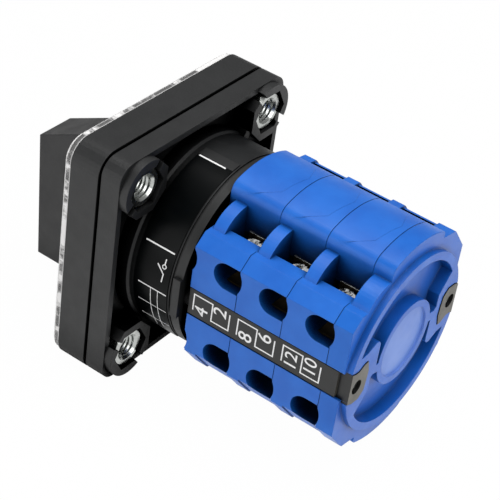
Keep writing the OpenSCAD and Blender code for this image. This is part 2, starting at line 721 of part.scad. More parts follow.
module terminal_screws(i) color(zinc) {
    seat = clamp_z + clamp_t;
    cross = head_r - 0.6;
    translate([0, section_y(i), 0]) at_terminals() {
        rod_z(screw_r, term_z, seat, 0, 0);
        difference() {
            rod_z(head_r, seat, seat + head_h, 0, 0);
            block([-slot_w / 2, -cross, seat + 1], [slot_w / 2, cross, seat + head_h + 1]);
            block([-cross, -slot_w / 2, seat + 1], [cross, slot_w / 2, seat + head_h + 1]);
        }
    }
}
module fixed_contacts_1() fixed_contacts(1);
module fixed_contacts_2() fixed_contacts(2);
module fixed_contacts_3() fixed_contacts(3);
module clamp_plates_1() clamp_plates(1);
module clamp_plates_2() clamp_plates(2);
module clamp_plates_3() clamp_plates(3);
module terminal_screws_1() terminal_screws(1);
module terminal_screws_2() terminal_screws(2);
module terminal_screws_3() terminal_screws(3);

// End of a label strap, in X and Z: square on the outside, with a heel and a tip inside
module strap_end(grow)
    translate([tie_x, 0]) offset(r = grow, $fn = 32) polygon(strap_face);

// End cover: flange with the section's outline, raised rim, pads round the strap ends and a boss
module end_cover() color([0.28, 0.42, 0.86])
    difference() {
        union() {
            joint_plate(stack_back, flange_back);
            rod_y(end_rim_r, stack_back, end_back, n = 128);
        }
        difference() {
            rod_y(end_rim_in, end_floor, end_back + 1, n = 128);
            rod_y(end_boss_r, end_floor - 1, end_back + 2, n = 72);
            turned_pair() translate([tie_x, 0, 0]) along_y(end_floor - 1, end_back + 2) polygon(pad_face);
        }
        rod_y(end_disc_r, end_back - end_disc_drop, end_back + 1, n = 72);
        rod_y(shaft_s * 0.72 + run_c, stack_back - 1, stack_back + 2);
        turned_pair() along_y(end_floor, end_back + 1) strap_end(slide_c);
        both_sides() block([channel_x, stack_back - 1, -channel_z], [side_x + 1, end_back + 1, channel_z]);
        tie_bores(tie_r + 0.2, stack_back - 1, end_back + 1);
        translate([0, stack_back, 0]) front_notches();
    }
module label_strap()
    difference() {
        union() {
            block([channel_x + 0.1, section_0, -strap_z],
                [channel_x + 0.1 + strap_t, end_floor + 0.1, strap_z]);
            along_y(end_floor, end_back + 0.2) strap_end(0);
        }
        rod_y(tie_r + 0.1, end_floor - 1, tie_seat + eps, x = tie_x, z = tie_z, n = 32);
        rod_y(tie_head_r + 0.1, tie_seat, end_back + 1, x = tie_x, z = tie_z, n = 32);
    }
module label_strap_right() color([0.12, 0.12, 0.12]) label_strap();
module label_strap_left() color([0.12, 0.12, 0.12]) rotate([0, 180, 0]) label_strap();
module tie_screws() color(zinc)
    difference() {
        union() {
            tie_bores(tie_r, latch_back - tie_grip, tie_seat + eps);
            tie_bores(tie_head_r, tie_seat, tie_seat + tie_head_h);
        }
        turned_pair() block([tie_x - 0.3, tie_seat + tie_head_h / 2, tie_z - tie_head_r - 1],
            [tie_x + 0.3, tie_seat + tie_head_h + 1, tie_z + tie_head_r + 1]);
    }

knob();
knob_cap();
knob_screw();
clear_cover();
dial_plate();
escutcheon_frame();
panel_gasket();
mounting_plate();
corner_nuts();
plate_screws();
latch_housing();
latch_cover();
rating_label();
star_wheel();
detent_slide_upper();
detent_slide_lower();
detent_roller_upper();
detent_roller_lower();
detent_spring_upper();
detent_spring_lower();
drive_shaft();
contact_housing_1();
contact_housing_2();
contact_housing_3();
cam_1();
cam_2();
cam_3();
plunger_upper_1();
plunger_upper_2();
plunger_upper_3();
plunger_lower_1();
plunger_lower_2();
plunger_lower_3();
bridge_upper_1();
bridge_upper_2();
bridge_upper_3();
bridge_lower_1();
bridge_lower_2();
bridge_lower_3();
spring_upper_1();
spring_upper_2();
spring_upper_3();
spring_lower_1();
spring_lower_2();
spring_lower_3();
fixed_contacts_1();
fixed_contacts_2();
fixed_contacts_3();
terminal_screws_1();
terminal_screws_2();
terminal_screws_3();
clamp_plates_1();
clamp_plates_2();
clamp_plates_3();
end_cover();
label_strap_right();
label_strap_left();
tie_screws();
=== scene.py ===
"""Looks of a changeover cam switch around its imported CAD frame."""
import json
import math

import bpy
from mathutils import Matrix, Vector


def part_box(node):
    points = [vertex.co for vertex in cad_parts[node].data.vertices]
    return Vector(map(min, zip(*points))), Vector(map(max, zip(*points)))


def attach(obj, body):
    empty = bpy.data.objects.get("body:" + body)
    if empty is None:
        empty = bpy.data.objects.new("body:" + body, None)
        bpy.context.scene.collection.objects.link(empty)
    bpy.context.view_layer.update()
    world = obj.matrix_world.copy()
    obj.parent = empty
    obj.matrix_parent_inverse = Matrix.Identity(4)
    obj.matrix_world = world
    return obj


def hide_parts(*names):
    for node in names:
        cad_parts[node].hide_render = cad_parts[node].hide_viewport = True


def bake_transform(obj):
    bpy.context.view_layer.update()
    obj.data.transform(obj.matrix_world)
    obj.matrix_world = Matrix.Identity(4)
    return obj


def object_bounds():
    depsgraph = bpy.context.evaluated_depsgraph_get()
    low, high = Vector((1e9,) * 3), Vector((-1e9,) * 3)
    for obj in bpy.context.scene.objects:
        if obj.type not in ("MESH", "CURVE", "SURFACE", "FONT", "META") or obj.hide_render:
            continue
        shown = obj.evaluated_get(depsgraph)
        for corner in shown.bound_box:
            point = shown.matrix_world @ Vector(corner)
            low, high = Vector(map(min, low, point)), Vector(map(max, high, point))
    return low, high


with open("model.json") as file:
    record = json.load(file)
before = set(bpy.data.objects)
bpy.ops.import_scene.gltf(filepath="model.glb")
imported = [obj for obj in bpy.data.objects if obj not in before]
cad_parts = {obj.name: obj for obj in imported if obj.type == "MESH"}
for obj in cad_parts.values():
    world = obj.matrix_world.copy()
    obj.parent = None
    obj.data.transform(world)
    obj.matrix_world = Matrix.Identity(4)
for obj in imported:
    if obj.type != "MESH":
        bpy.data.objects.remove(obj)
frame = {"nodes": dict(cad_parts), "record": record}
cad_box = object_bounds()
MM = 0.001
HOUSING = "housing"
ROTOR = "rotor"

# Camera, fitted to the photograph: place in millimetres, angles in degrees
CAMERA_PLACE = Vector((271.4, 188.2, 237.6)) * MM
CAMERA_AZIMUTH = 121.31
CAMERA_ELEVATION = 36.56
CAMERA_ROLL = -8.86
CAMERA_LENS = 117.6
SENSOR = 36.0


def camera_axes():
    """Right, up and back directions of the camera."""
    azimuth = math.radians(CAMERA_AZIMUTH)
    elevation = math.radians(CAMERA_ELEVATION)
    roll = math.radians(CAMERA_ROLL)
    back = Vector((math.sin(azimuth) * math.cos(elevation), -math.cos(azimuth) * math.cos(elevation),
                   math.sin(elevation)))
    level = (-back).cross(Vector((0, 0, 1))).normalized()
    down = (-back).cross(level)
    right = level * math.cos(roll) + down * math.sin(roll)
    down = down * math.cos(roll) - level * math.sin(roll)
    return right, -down, back


def make_camera():
    data = bpy.data.cameras.new("camera")
    data.lens = CAMERA_LENS
    data.sensor_width = SENSOR
    data.clip_start = 0.01
    data.clip_end = 20
    camera = bpy.data.objects.new("camera", data)
    bpy.context.scene.collection.objects.link(camera)
    right, up, back = camera_axes()
    turn = Matrix((right, up, back)).transposed().to_4x4()
    camera.matrix_world = Matrix.Translation(CAMERA_PLACE) @ turn
    bpy.context.scene.camera = camera


def box_mm(node):
    """Lowest and highest corner of a CAD node in millimetres."""
    low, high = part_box(node)
    return low / MM, high / MM


# Materials; lengths in millimetres
# The end cover's disc is paler by a painted reflection.
DISC_RADIUS = 9.1       # paler disc of the end cover
BAND_BORDER = 4.9       # x below which the label band carries no print
CLOUD_SIZE = 9          # soft clouds of two tones in moulded plastic
CLOUD_STOPS = (0.35, 0.65)
PATCH_SIZE = 3.5        # rubbed patches
WARP = (14, 0.3, 0.05)  # size, strength and depth of the slow unevenness of moulded faces
# Painted shade: a recess darkens the colour by its share of open sky.
OPEN_SKY = (0.3, 0.88)  # shares of open sky between which a recess goes from dark to its own tone
DULL = 0.78             # share of its tone that metal keeps in dull patches
WORN = 0.8              # share of its tone that ink keeps where it is worn


class Shader:
    """A node material that is built step by step."""

    def __init__(self, name):
        self.material = bpy.data.materials.new(name)
        self.material.use_nodes = True
        self.tree = self.material.node_tree
        self.surface = self.tree.nodes["Principled BSDF"]
        coordinates = self.add("ShaderNodeTexCoord")
        self.coordinate = coordinates.outputs["Object"]
        self.facing = coordinates.outputs["Normal"]

    def add(self, kind, **settings):
        node = self.tree.nodes.new(kind)
        for key, value in settings.items():
            setattr(node, key, value)
        return node

    def link(self, source, target):
        self.tree.links.new(source, target)

    def set(self, **values):
        for key, value in values.items():
            self.surface.inputs[key.replace("_", " ")].default_value = value

    def noise(self, size, detail=2.0, roughness=0.5, stretch=(1, 1, 1)):
        """Noise whose grains are about `size` millimetres."""
        mapping = self.add("ShaderNodeMapping")
        mapping.inputs["Scale"].default_value = stretch
        self.link(self.coordinate, mapping.inputs["Vector"])
        node = self.add("ShaderNodeTexNoise")
        node.inputs["Scale"].default_value = 1 / (size * MM)
        node.inputs["Detail"].default_value = detail
        node.inputs["Roughness"].default_value = roughness
        self.link(mapping.outputs["Vector"], node.inputs["Vector"])
        return node.outputs["Fac"]

    def ramp(self, value, stops):
        """Colours at places along a value; a stop is (place, colour or grey)."""
        node = self.add("ShaderNodeValToRGB")
        ramp = node.color_ramp
        while len(ramp.elements) < len(stops):
            ramp.elements.new(0.5)
        for element, (place, colour) in zip(ramp.elements, stops):
            element.position = place
            grey = isinstance(colour, (int, float))
            element.color = (colour, colour, colour, 1) if grey else (*colour, 1)
        self.link(value, node.inputs["Fac"])
        return node.outputs["Color"]

    def calculate(self, operation, first, second=None):
        """Result of a math node; an input is a socket or a number."""
        node = self.add("ShaderNodeMath", operation=operation)
        for place, value in enumerate((first, second)):
            if isinstance(value, (int, float)):
                node.inputs[place].default_value = value
            elif value is not None:
                self.link(value, node.inputs[place])
        return node.outputs[0]

    def part(self, vector, axis):
        """One axis of a vector."""
        node = self.add("ShaderNodeSeparateXYZ")
        self.link(vector, node.inputs[0])
        return node.outputs[axis]

    def mix(self, share, first, second, blend="MIX"):
        """Two colours mixed; the share is a socket or a number."""
        node = self.add("ShaderNodeMix", blend_type=blend)
        node.data_type = "RGBA"
        if isinstance(share, float):
            node.inputs["Factor"].default_value = share
        else:
            self.link(share, node.inputs["Factor"])
        self.link(first, node.inputs[6])
        self.link(second, node.inputs[7])
        return node.outputs[2]

    def clouds(self, dark, light, stops=CLOUD_STOPS):
        """Two close tones in soft clouds."""
        return self.ramp(self.noise(CLOUD_SIZE, detail=3), [(stops[0], dark), (stops[1], light)])

    def colour(self, socket):
        self.link(socket, self.surface.inputs["Base Color"])

    def gloss(self, share, level):
        """Specular level that fades with the share of open sky, a painted shade on the gloss in recesses.
        """
        self.link(self.calculate("MULTIPLY", share, level), self.surface.inputs["Specular IOR Level"])

    def rubbed(self, least, most):
        """Roughness that changes in rubbed patches."""
        patches = self.noise(PATCH_SIZE, detail=4, roughness=0.6)
        self.link(self.ramp(patches, [(0.3, least), (0.7, most)]), self.surface.inputs["Roughness"])

    def moulded(self, grain, strength, depth, edge):
        """Fine grain and slow unevenness of a moulded face."""
        size, warp_strength, warp_depth = WARP
        self.bump([(self.noise(grain, detail=1), strength, depth),
                   (self.noise(size, detail=1), warp_strength, warp_depth)], edge)

    def shaded(self, colour, reach, deepest_shade):
        """The colour with painted shade, darker where walls stand within `reach` millimetres, and the share
        of open sky.
        """
        open_sky = self.add("ShaderNodeAmbientOcclusion", samples=8)
        open_sky.inputs["Distance"].default_value = reach * MM
        share = self.ramp(open_sky.outputs["AO"], [(OPEN_SKY[0], deepest_shade), (OPEN_SKY[1], 1.0)])
        return self.mix(1.0, colour, share, "MULTIPLY"), share

    def rear_tone(self, sides, rear):
        """Painted light: one tone on the sides, a lighter one on faces that point to the rear."""
        return self.mix(self.ramp(self.part(self.facing, "Y"), [(0.5, 0.0), (0.8, 1.0)]), sides, rear)

    def bump(self, layers, edge=None):
        """Bumps from (height, strength, depth in millimetres), over rounded edges."""
        normal = None
        if edge:
            bevel = self.add("ShaderNodeBevel", samples=4)
            bevel.inputs["Radius"].default_value = edge * MM
            normal = bevel.outputs["Normal"]
        for height, strength, depth in layers:
            node = self.add("ShaderNodeBump")
            node.inputs["Strength"].default_value = strength
            node.inputs["Distance"].default_value = depth * MM
            self.link(height, node.inputs["Height"])
            if normal:
                self.link(normal, node.inputs["Normal"])
            normal = node.outputs["Normal"]
        self.link(normal, self.surface.inputs["Normal"])


def linear(red, green, blue):
    """An sRGB colour given in 0 to 255, as linear light."""
    return tuple((c / 255 / 12.92) if c <= 10 else ((c / 255 + 0.055) / 1.055) ** 2.4
                 for c in (red, green, blue))


def plastic(name, dark, light, rough, grain, depth, edge=0.25, specular=0.5, reach=14, deepest_shade=0.3,
            rear=None):
    """Moulded plastic: two close tones in soft clouds, fine grain, rubbed patches, painted shade that
    darkens recesses, and painted light on faces that point to the rear where a rear tone is given.
    """
    shader = Shader(name)
    tone = shader.clouds(dark, light)
    if rear:
        # Painted light on faces that point to the rear.
        tone = shader.rear_tone(tone, shader.clouds(rear, light, (0.3, 0.9)))
    tone, share = shader.shaded(tone, reach, deepest_shade)
    shader.colour(tone)
    shader.rubbed(rough - 0.05, rough + 0.05)
    shader.gloss(share, specular)
    shader.moulded(grain, 0.6, depth, edge)
    return shader.material


def end_plastic():
    """Blue of the end cover, with painted light on faces that point to the rear, painted shade in its
    recesses, and a disc on its boss that a painted reflection makes paler.
    """
    shader = Shader("cover_blue")
    flat = shader.add("ShaderNodeVectorMath", operation="MULTIPLY")
    flat.inputs[1].default_value = (1, 0, 1)
    shader.link(shader.coordinate, flat.inputs[0])
    radius = shader.add("ShaderNodeVectorMath", operation="LENGTH")
    shader.link(flat.outputs[0], radius.inputs[0])
    outside = shader.calculate("GREATER_THAN", radius.outputs["Value"], DISC_RADIUS * MM)
    sides = shader.clouds(linear(16, 93, 188), linear(24, 103, 199))
    # Painted light: a lighter tone for faces that point to the rear.
    rear = shader.clouds(linear(34, 92, 184), linear(44, 102, 194))
    cover = shader.shaded(shader.rear_tone(sides, rear), 8, 0.3)[0]
    # Painted reflection: the disc on the boss is paler than the rest of the cover.
    disc = shader.clouds(linear(92, 126, 200), linear(102, 136, 208))
    shader.colour(shader.mix(outside, disc, cover))
    shader.rubbed(0.3, 0.4)
    shader.set(Specular_IOR_Level=0.35)
    shader.moulded(0.5, 0.6, 0.012, 0.35)
    return shader.material


def band_foil():
    """Printed band: glossy black, with an unprinted border above the first rule."""
    shader = Shader("label")
    inked = shader.calculate("GREATER_THAN", shader.part(shader.coordinate, "X"), BAND_BORDER * MM)

    def either(border, foil):
        return shader.ramp(inked, [(0.2, border), (0.8, foil)])

    # Painted shade: the band's tone and gloss go to black in its recesses.
    tone, share = shader.shaded(either(linear(20, 21, 22), linear(1, 3, 4)), 24, 0.0)
    shader.colour(tone)
    shader.link(either(0.5, 0.3), shader.surface.inputs["Roughness"])
    shader.gloss(share, either(0.5, 0.12))
    shader.bump([(shader.noise(0.6, detail=1), 0.4, 0.01), (shader.noise(5, detail=2), 0.3, 0.03)], 0.1)
    return shader.material


def metal(name, colour, rough, streak=(1, 1, 1), edge=0.12):
    """Plated or drawn metal with uneven sheen."""
    shader = Shader(name)
    sheen = shader.noise(1.8, detail=4, stretch=streak)
    dull = tuple(c * DULL for c in colour)
    shader.colour(shader.ramp(sheen, [(0.3, dull), (0.7, colour)]))
    shader.set(Metallic=1.0)
    shader.link(shader.ramp(sheen, [(0.3, rough + 0.1), (0.7, rough)]), shader.surface.inputs["Roughness"])
    shader.bump([(shader.noise(0.35, detail=3, stretch=streak), 0.5, 0.02)], edge)
    return shader.material


def screw_metal():
    """Plated screw heads with painted glints: near-white and near-black specks in their colour, from a
    noise that also bumps the heads.
    """
    shader = Shader("screw_zinc")
    facets_and_glints = shader.noise(0.8, detail=2, roughness=0.6)
    # Painted glints: near-white and near-black specks in the colour.
    shader.colour(shader.ramp(facets_and_glints, [(0.43, linear(24, 27, 30)), (0.48, linear(150, 156, 156)),
                                       (0.53, linear(255, 255, 252))]))
    shader.set(Metallic=0.3, Roughness=0.25)
    shader.bump([(facets_and_glints, 0.9, 0.15)], 0.15)
    return shader.material


def clear_plastic():
    """Clear plastic whose edge carries painted highlights: two near-white lines where it is nearly opaque,
    with broken near-white patches between them; faces that point to the front or rear stay clear.
    """
    shader = Shader("clear_cover")
    low, high = box_mm("clear_cover")
    across = shader.add("ShaderNodeMapRange")
    across.inputs["From Min"].default_value = low.y * MM
    across.inputs["From Max"].default_value = high.y * MM
    shader.link(shader.part(shader.coordinate, "Y"), across.inputs["Value"])
    # Painted highlight: the edge is nearly opaque near-white at its front and rear borders, and mostly
    # clear between them.
    along = shader.ramp(across.outputs["Result"], [(0.1, 0.15), (0.4, 0.9), (0.75, 0.85), (0.9, 0.05)])
    patches = shader.noise(6, detail=4, roughness=0.65, stretch=(1, 0.4, 1))
    broken = shader.ramp(patches, [(0.42, 0.1), (0.49, 0.75), (0.56, 1.0)])
    clear_outside_highlights = shader.calculate("MINIMUM", along, broken)
    toward = shader.calculate("ABSOLUTE", shader.part(shader.facing, "Y"))
    on_face = shader.ramp(toward, [(0.6, 0.0), (0.9, 1.0)])
    shader.link(shader.calculate("MAXIMUM", on_face, clear_outside_highlights), shader.surface.inputs["Transmission Weight"])
    shader.set(Base_Color=(0.95, 0.94, 0.935, 1), IOR=1.49, Roughness=0.06)
    shader.bump([(shader.noise(3, detail=3), 0.4, 0.1)], 0.2)
    return shader.material


def printed(name, tone):
    """Ink that has worn a little."""
    shader = Shader(name)
    shader.colour(shader.ramp(shader.noise(0.5, detail=3), [(0.25, tone * WORN), (0.5, tone)]))
    shader.set(Roughness=0.5)
    return shader.material


MATERIALS = {
    "black_plastic": plastic("black_plastic", linear(19, 20, 21), linear(26, 27, 28), 0.5, 0.4, 0.08,
                             specular=0.55, reach=24, deepest_shade=0.0),
    "latch_plastic": plastic("latch_plastic", linear(9, 11, 13), linear(16, 18, 20), 0.5, 0.4, 0.05,
                             specular=0.45, reach=24, deepest_shade=0.0),
    "knob_plastic": plastic("knob_plastic", linear(22, 22, 23), linear(30, 30, 31), 0.5, 0.4, 0.03,
                            edge=0.4),
    "blue_plastic": plastic("blue_plastic", linear(16, 95, 192), linear(24, 105, 203), 0.42, 0.5, 0.015,
                            specular=0.45, reach=11, deepest_shade=0.05),
    "cover_blue": end_plastic(),
    "clear_plastic": clear_plastic(),
    "dial": metal("dial", linear(222, 224, 228), 0.35, (1, 1, 8)),
    "gasket": plastic("gasket", linear(6, 6, 7), linear(10, 10, 11), 0.9, 0.3, 0.06),
    "zinc": metal("zinc", linear(196, 199, 196), 0.2),
    "screw_zinc": screw_metal(),
    "label": band_foil(),
    # The strap's grey tone on faces that point to the rear is painted light.
    "strap": plastic("strap", linear(19, 20, 20), linear(25, 26, 26), 0.42, 0.35, 0.02, edge=0.2,
                     rear=linear(92, 89, 80)),
    "white_plastic": plastic("white_plastic", linear(205, 203, 192), linear(218, 216, 206), 0.45, 0.4,
                             0.02),
    # Brass keeps its hue but is darkened far below its own tone, a painted shade for the shaded wire holes
    # and clamp lips where it sits.
    "brass": metal("brass", linear(58, 50, 38), 0.5),
    "spring_steel": metal("spring_steel", linear(150, 152, 156), 0.3, edge=0.05),
    "print_white": printed("print_white", 0.85),
    "print_black": printed("print_black", 0.02),
}

# Nodes whose finish differs from that of their slot, by the start of their name
OWN_FINISH = {"terminal_screws": "screw_zinc", "latch_housing": "latch_plastic"}


def dress_nodes():
    """Gives each CAD node the material of its slot, or of its own where its name has one."""
    slots = {entry["node"]: entry["material_slot"] for entry in frame["record"]["subparts"]}
    for name, node in frame["nodes"].items():
        node.data.materials.clear()
        finish = next((tone for start, tone in OWN_FINISH.items() if name.startswith(start)), slots[name])
        node.data.materials.append(MATERIALS[finish])


def coil_springs():
    """Stands each spring in by a copy of its mesh, and hides the CAD spring."""
    for joint in frame["record"]["behaviour"]["joints"]:
        for entry in joint.get("deforming_nodes", []):
            name = entry["node"]
            coil = bpy.data.objects.new(f"{name}_coil", frame["nodes"][name].data.copy())
            bpy.context.scene.collection.objects.link(coil)
            low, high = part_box(name)
            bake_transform(coil)
            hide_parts(name)


# Small pieces that are too fine for the CAD part
LINE_RISE = 0.03        # how far printed lines stand out, in millimetres
LINE_STEP = 0.6         # longest straight run of a line on a curved face
SHARPEST = 0.4          # cosine at which a mitre is no longer lengthened


def link_piece(obj, slot, body):
    """Puts a piece in the scene, on its body; its slot is not used."""
    bpy.context.scene.collection.objects.link(obj)
    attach(obj, body)


def add_piece(name, points, faces, slot, body=HOUSING):
    """A mesh given in millimetres that rides a body and takes a slot's finish."""
    mesh = bpy.data.meshes.new(name)
    mesh.from_pydata([Vector(p) * MM for p in points], [], faces)
    mesh.update()
    mesh.materials.append(MATERIALS[slot])
    link_piece(bpy.data.objects.new(name, mesh), slot, body)


def fine(points):
    """The same path with a point at least every LINE_STEP."""
    result = [points[0]]
    for a, b in zip(points, points[1:]):
        count = max(1, math.ceil(math.dist(a, b) / LINE_STEP))
        for i in range(1, count + 1):
            result.append((a[0] + (b[0] - a[0]) * i / count, a[1] + (b[1] - a[1]) * i / count))
    return result


def sides_of(path, width, closed):
    """Points left and right of a path, mitred at its corners."""
    pairs = []
    last = len(path) - 1
    for i, point in enumerate(path):
        before = path[i - 1] if i > 0 or closed else None
        after = path[(i + 1) % len(path)] if i < last or closed else None
        ways = []
        if before is not None:
            ways.append((Vector(point) - Vector(before)).normalized())
        if after is not None:
            ways.append((Vector(after) - Vector(point)).normalized())
        way = (ways[0] + ways[-1]).normalized()
        across = Vector((-way.y, way.x))
        reach = width / 2 / max(SHARPEST, way.dot(ways[0]))
        pairs.append((Vector(point) + across * reach, Vector(point) - across * reach))
    return pairs


def lines(name, paths, place, slot="print_white", body=HOUSING, rise=LINE_RISE):
    """Raised lines from (points, width, closed); place(u, v, height) gives their place."""
    points = []
    faces = []
    for path, width, closed in paths:
        path = fine(path + [path[0]])[:-1] if closed else fine(path)
        start = len(points)
        for left, right in sides_of(path, width, closed):
            for height in (-rise, rise):
                points.append(place(left.x, left.y, height))
                points.append(place(right.x, right.y, height))
        count = len(path)
        for i in range(count if closed else count - 1):
            a = start + 4 * i
            b = start + 4 * ((i + 1) % count)
            faces += [(a + 2, a + 3, b + 3, b + 2), (a, b, b + 1, a + 1),
                      (a, a + 2, b + 2, b), (a + 1, b + 1, b + 3, a + 3)]
        if not closed:
            end = start + 4 * (count - 1)
            faces += [(start, start + 1, start + 3, start + 2), (end, end + 2, end + 3, end + 1)]
    add_piece(name, points, faces, slot, body)


def circle(u, v, radius, count=20):
    turns = [2 * math.pi * i / count for i in range(count)]
    return [(u + radius * math.cos(turn), v + radius * math.sin(turn)) for turn in turns]


FONT_SIZE = 1.36        # size of the font for digits one unit high
INK = 0.02              # thickness of the printed digits
FATTER = 0.004          # share of the height by which the strokes are widened
SPACING = 1.05


def number(name, value, height, centre, right, up, slot="print_white"):
    """A plain printed number, a hair above its surface."""
    data = bpy.data.curves.new(name, "FONT")
    data.body = str(value)
    data.size = height * FONT_SIZE * MM
    data.align_x = "CENTER"
    data.align_y = "CENTER"
    data.extrude = INK * MM
    data.offset = FATTER * height * MM
    data.space_character = SPACING
    data.materials.append(MATERIALS[slot])
    obj = bpy.data.objects.new(name, data)
    right = Vector(right)
    up = Vector(up)
    turn = Matrix((right, up, right.cross(up))).transposed().to_4x4()
    obj.matrix_world = Matrix.Translation(Vector(centre) * MM) @ turn
    link_piece(obj, slot, HOUSING)


# Printing on the straps: stepped line of one section and the places of its two numbers
SECTION = 12.8
STEP_TOP = 2.5
STEP_LOW = -2.4
STEP_REACH = 4.6
STEP_LINE = 0.34
STEP_Y = (1.4, 6.8, 11.8)
DIGITS = (3.9, 3.5)         # heights of numbers with one and with two digits
DIGIT_Z = (-1.35, 1.45)
WIDE_SHARE = 0.45           # how far off the middle a number with two digits stands
DIGIT_SHIFT = 0.1
NUMBERS_RIGHT = ((4, 2), (8, 6), (12, 10))
NUMBERS_LEFT = ((3, 1), (7, 5), (11, 9))


def print_strap(node, side, pairs):
    low, high = box_mm(node)
    face = high.x if side > 0 else low.x
    front = low.y

    def place(u, v, height):
        return (face + side * height, u, side * v)

    paths = []
    for i, pair in enumerate(pairs):
        y = front + SECTION * i
        y0, y1, y2 = (y + step for step in STEP_Y)
        paths.append(([(y0, STEP_TOP - STEP_REACH), (y0, STEP_TOP), (y1, STEP_TOP), (y1, STEP_LOW),
                       (y2, STEP_LOW), (y2, STEP_LOW + STEP_REACH)], STEP_LINE, False))
        for k, value in enumerate(pair):
            wide = value > 9
            z = DIGIT_Z[k] * (WIDE_SHARE if wide else 1)
            centre = place(y + (STEP_Y[k] + STEP_Y[k + 1]) / 2 - DIGIT_SHIFT, z, INK)
            number(f"{node}_number_{value}", value, DIGITS[wide], centre, (0, 0, side), (0, -1, 0))
    lines(f"{node}_steps", paths, place)


# Printing on the latch housing's band: rules, contact symbol and a fine table, in degrees around the
# shaft and millimetres along it
RULES = ((78.2, 8.5, 16.3, 0.42), (23.4, 9.0, 17.5, 0.36), (-2.0, 9.4, 17.8, 0.3))
SYMBOL = (((4.9, 15.95), (9.9, 16.1), (14.4, 13.95)), ((15.3, 15.9), (18.7, 15.9)))
SYMBOL_RING = (14.2, 15.9, 0.5)
TABLE_COLUMNS = (13.2, 15.3)
TABLE_ROWS = (-14.5, -27.5)
TABLE_END = -35
SYMBOL_LINE = 0.3
RING_LINE = 0.24
TABLE_LINE = 0.16


def around(radius):
    """Places on a cylinder about the shaft: u runs around it, v along it."""
    def place(u, v, height):
        angle = u / radius
        reach = radius + height
        return (reach * math.cos(angle), v, reach * math.sin(angle))

    return place


def print_band():
    radius = box_mm("rating_label")[1].x
    degree = math.radians(1) * radius
    paths = [([(a * degree, y0), (a * degree, y1)], width, False) for a, y0, y1, width in RULES]
    paths += [([(a * degree, y) for a, y in part], SYMBOL_LINE, False) for part in SYMBOL]
    angle, y, ring_radius = SYMBOL_RING
    paths.append((circle(angle * degree, y, ring_radius), RING_LINE, True))
    top, y0, y1, _ = RULES[2]
    for y in TABLE_COLUMNS:
        paths.append(([(top * degree, y), (TABLE_END * degree, y)], TABLE_LINE, False))
    for a in TABLE_ROWS:
        paths.append(([(a * degree, y0), (a * degree, y1)], TABLE_LINE, False))
    lines("band_print", paths, around(radius))


# Dial printing, seen from the front: border, ring, and a tick and a number at each position
DIAL_BORDER = (1.6, 3.5, 0.3)       # inset, corner radius and width
DIAL_RING = (18.2, 0.25, 72)        # radius, width and count of points
DIAL_TICK = (18.6, 20.4, 0.7)       # from, to and width
DIAL_NUMBER = (24, 4.2)             # radius and height
DIAL_ANGLES = ((1, 150), (0, 90), (2, 30))
CORNER_STEPS = 6


def print_dial():
    low, high = box_mm("dial_plate")
    face = low.y

    def place(u, v, height):
        return (u, face - height, v)

    inset, corner, border_width = DIAL_BORDER
    straight = high.x - inset - corner
    border = []
    for sx, sz, start in ((1, 1, 0), (-1, 1, 90), (-1, -1, 180), (1, -1, 270)):
        for i in range(CORNER_STEPS + 1):
            angle = math.radians(start + 90 / CORNER_STEPS * i)
            border.append((sx * straight + corner * math.cos(angle),
                           sz * straight + corner * math.sin(angle)))
    ring_radius, ring_width, count = DIAL_RING
    paths = [(border, border_width, True), (circle(0, 0, ring_radius, count), ring_width, True)]
    near, far, tick_width = DIAL_TICK
    number_radius, height = DIAL_NUMBER
    for value, angle in DIAL_ANGLES:
        way = Vector((math.cos(math.radians(angle)), math.sin(math.radians(angle))))
        paths.append(([tuple(way * near), tuple(way * far)], tick_width, False))
        spot = way * number_radius
        number(f"dial_number_{value}", value, height, (spot.x, face - INK, spot.y), (1, 0, 0), (0, 0, 1),
               "print_black")
    lines("dial_print", paths, place, "print_black")


# Pointer of the knob: a white line on its front face, from the pointing edge over the cap
FACE_TOP = 7.0
FACE_SLOPE = 1.6
POINTER_WIDTH = 1.5
POINTER_REACH = (0.7, 3.1)
CAP_LINE = 3.1


def print_knob():
    low = box_mm("knob")[0]
    top = Vector((low.y, FACE_TOP))
    way = (Vector((low.y + FACE_SLOPE, low.z)) - top).normalized()
    out = Vector((way.y, -way.x))
    cap_face = box_mm("knob_cap")[0].y

    def on_face(u, v, height):
        spot = top + way * v + out * height
        return (u, spot.x, spot.y)

    def on_cap(u, v, height):
        return (u, cap_face - height, v)

    start, end = POINTER_REACH
    lines("knob_pointer", [([(0, start), (0, end)], POINTER_WIDTH, False)], on_face, body=ROTOR)
    lines("cap_pointer", [([(0, -CAP_LINE), (0, CAP_LINE)], POINTER_WIDTH, False)], on_cap, body=ROTOR)


# Moulding marks: a small tick on the end cover's floor, and witness lines of the mould on each dome
COVER_FLOOR = 3.1           # depth of the end cover's floor behind its rearmost face
MARK_LINE = (0.3, 0.35)     # width and rise
WITNESS_LINE = (0.08, 0.02)
MARK = (((13.2, 12.6), (14.2, 14.2)), ((13.7, 12.4), (13.2, 12.6)))
WITNESS = ((2.2, 66, 9.6, 78), (9.6, 78, 11.2, 96), (11.2, 96, 9.2, 108))


def mould_marks():
    floor = box_mm("end_cover")[1].y - COVER_FLOOR

    def on_floor(u, v, height):
        return (u, floor + height, v)

    width, rise = MARK_LINE
    paths = [(list(path), width, False) for path in MARK]
    lines("end_cover_mark", paths, on_floor, "cover_blue", rise=rise)
    width, rise = WITNESS_LINE
    for section in (1, 2, 3):
        high = box_mm(f"contact_housing_{section}")[1]
        radius = high.z
        front = high.y - SECTION
        paths = []
        for y0, a0, y1, a1 in WITNESS:
            start = (math.radians(a0) * radius, front + y0)
            end = (math.radians(a1) * radius, front + y1)
            paths.append(([start, end], width, False))
        lines(f"dome_witness_{section}", paths, around(radius), "blue_plastic", rise=rise)


